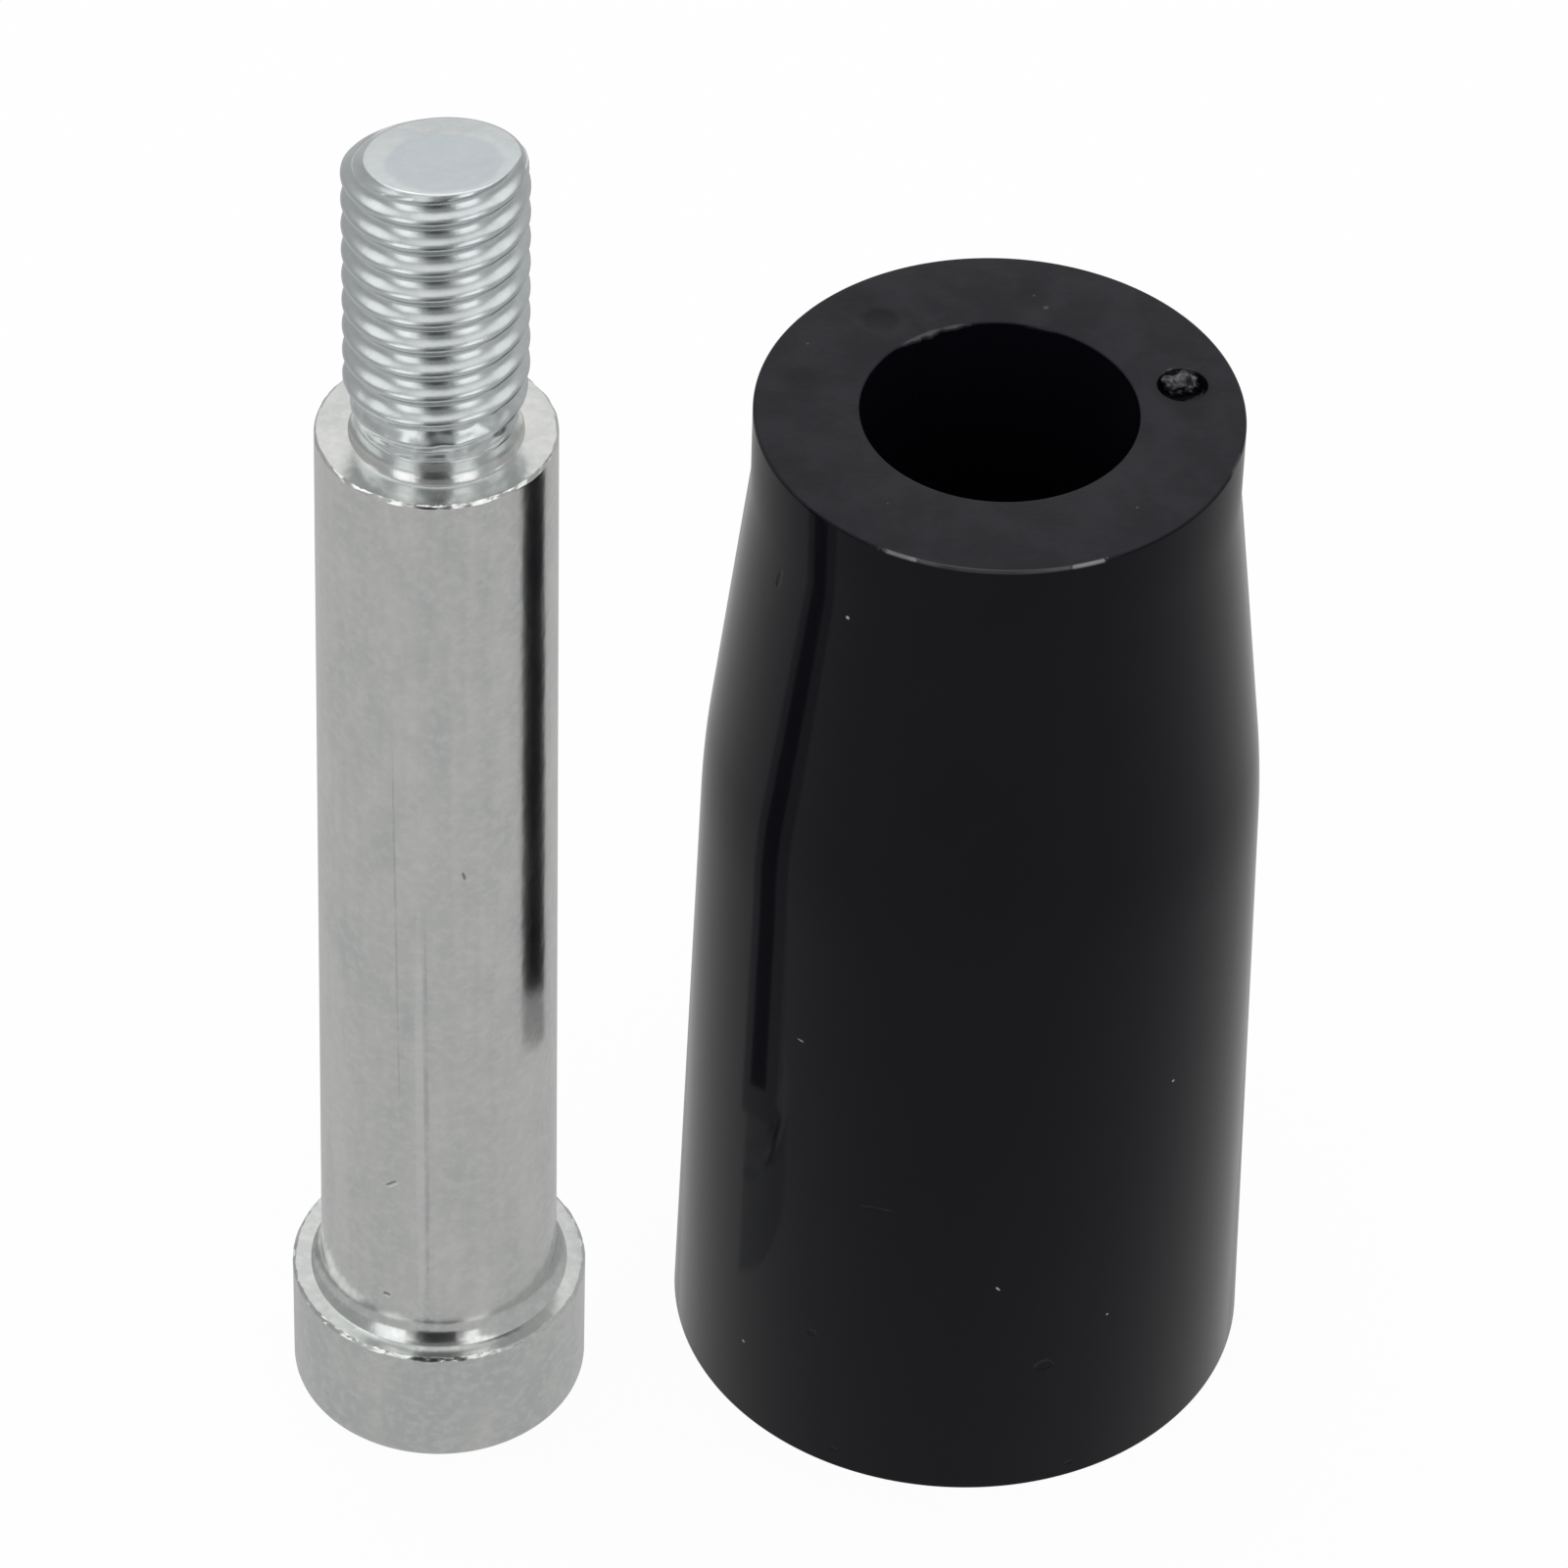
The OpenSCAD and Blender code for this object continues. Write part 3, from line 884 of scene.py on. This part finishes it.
def make_card(name, place, facing, width, height, level):
    """A card on its foot, which only the gloss of the pieces shows, and only from its front."""
    bm = bmesh.new()
    bmesh.ops.create_grid(bm, x_segments=1, y_segments=1, size=0.5)
    bmesh.ops.scale(bm, verts=bm.verts, vec=(width, height, 1))
    bmesh.ops.translate(bm, verts=bm.verts, vec=(0, height / 2, 0))
    card = piece_from(bm, name)
    card.location = place * MM
    card.rotation_euler = facing.to_track_quat("Z", "Y").to_euler()
    material = bpy.data.materials.new(name)
    material.use_nodes = True
    tree = material.node_tree
    glow = put(tree, "ShaderNodeEmission")
    glow.inputs["Strength"].default_value = level
    show_from_front(tree, glow.outputs[0])
    card.data.materials.append(material)
    card.visible_camera = False
    card.visible_diffuse = False
    card.visible_shadow = False
    card.visible_transmission = False


def background_rays(tree):
    """Which rays show a background's own white, and how white: gloss mirrors it less white."""
    path = put(tree, "ShaderNodeLightPath").outputs
    direct = either(tree, path["Is Camera Ray"], path["Is Transmission Ray"])
    shown = either(tree, direct, path["Is Glossy Ray"])
    return shown, scaled(tree, path["Is Glossy Ray"], MIRRORED_WHITE - 1, 1.0)


def make_world():
    """Even white light from all round, and plain white where the world is seen."""
    world = bpy.data.worlds.new("studio")
    bpy.context.scene.world = world
    world.use_nodes = True
    tree = world.node_tree
    tree.nodes.clear()
    shown, whiteness = background_rays(tree)
    light = put(tree, "ShaderNodeBackground")
    light.inputs["Strength"].default_value = WORLD_LIGHT
    white = put(tree, "ShaderNodeBackground")
    feed(tree, white.inputs["Strength"], whiteness)
    mix = put(tree, "ShaderNodeMixShader")
    feed(tree, mix.inputs[0], shown)
    tree.links.new(light.outputs[0], mix.inputs[1])
    tree.links.new(white.outputs[0], mix.inputs[2])
    tree.links.new(mix.outputs[0], put(tree, "ShaderNodeOutputWorld").inputs[0])


def make_floor():
    """A pale floor that keeps the pieces' shadow, and is seen only from above."""
    bm = bmesh.new()
    bmesh.ops.create_grid(bm, x_segments=1, y_segments=1, size=FLOOR_HALF / MM)
    floor = piece_from(bm, "floor")
    material, tree, shader = new_material("white_sweep")
    shader.inputs["Base Color"].default_value = FLOOR_GREY
    shader.inputs["Roughness"].default_value = 0.9
    shader.inputs["Specular IOR Level"].default_value = 0
    shown, whiteness = background_rays(tree)
    glow = put(tree, "ShaderNodeEmission")
    feed(tree, glow.inputs["Strength"], whiteness)
    mix = put(tree, "ShaderNodeMixShader")
    feed(tree, mix.inputs[0], times(tree, shown, FLOOR_WHITE))
    tree.links.new(shader.outputs[0], mix.inputs[1])
    tree.links.new(glow.outputs[0], mix.inputs[2])
    show_from_front(tree, mix.outputs[0])
    floor.data.materials.append(material)
    floor.location.z = -FLOOR_DROP * MM


# Soft boxes: turn from the camera's side and height in degrees, distance, width and depth
# in metres, radiance
SOFT_BOXES = [
    ("soft_box_left", -38, 26, 0.6, 0.30, 0.56, 0.9),
    ("soft_box_right", 38, 26, 0.6, 0.30, 0.56, 0.9),
    ("high_box_left", -106, 52, 0.6, 0.42, 0.34, 0.8),
    ("high_box_right", 104, 52, 0.6, 0.36, 0.34, 0.65),
    ("soft_box_top", 0, 90, 0.6, 0.58, 0.58, 0.7),
    ("soft_box_back", 180, 42, 0.8, 1.1, 0.9, 0.46),
]

# Cards: foot, the way that they face, width and height in millimetres, level. The two shades
# stand in front and darken the middle of the reflections. The fills stand between the pieces:
# those that face the screw leave it a narrow view of the grip, and the one that faces the grip
# covers the screw, with a dark stripe on it in two steps.
FRONT = towards_camera(math.radians(-4), 0)
TO_SCREW = Vector((-1, 0, 0))
TO_GRIP = Vector((1, 0, 0))
CARDS = [
    ("camera_shade", FRONT * 110, -FRONT, 64, 95, 0.03),
    ("ceiling_shade", FRONT * 110 + Vector((0, 0, 95)), -FRONT, 104, 145, 0.2),
    ("screw_fill_low", Vector((-4.85, 0, 0)), TO_SCREW, 40, 13.5, MIRRORED_WHITE),
    ("screw_half_fill", Vector((-4.85, -2.6, 13.5)), TO_SCREW, 3.4, 2.4, MIRRORED_WHITE / 2),
    ("screw_fill_far", Vector((-4.85, 1.35, 13.5)), TO_SCREW, 4.5, 40, MIRRORED_WHITE),
    ("screw_fill_near", Vector((-4.85, -5.2, 13.5)), TO_SCREW, 1.9, 40, MIRRORED_WHITE),
    ("grip_fill", Vector((-4.5, 17.1, 0)), TO_GRIP, 39.5, 58, MIRRORED_WHITE),
    ("grip_half_shade", Vector((-4.45, -3.5, 11)), TO_GRIP, 2.4, 50, 0.28),
    ("grip_shade", Vector((-4.4, -3.4, 12.5)), TO_GRIP, 1.1, 50, 0.06),
]

make_camera()
make_world()
make_floor()
for soft_box in SOFT_BOXES:
    make_lamp(*soft_box)
for card in CARDS:
    make_card(*card)

bpy.context.scene.view_settings.view_transform = "Standard"
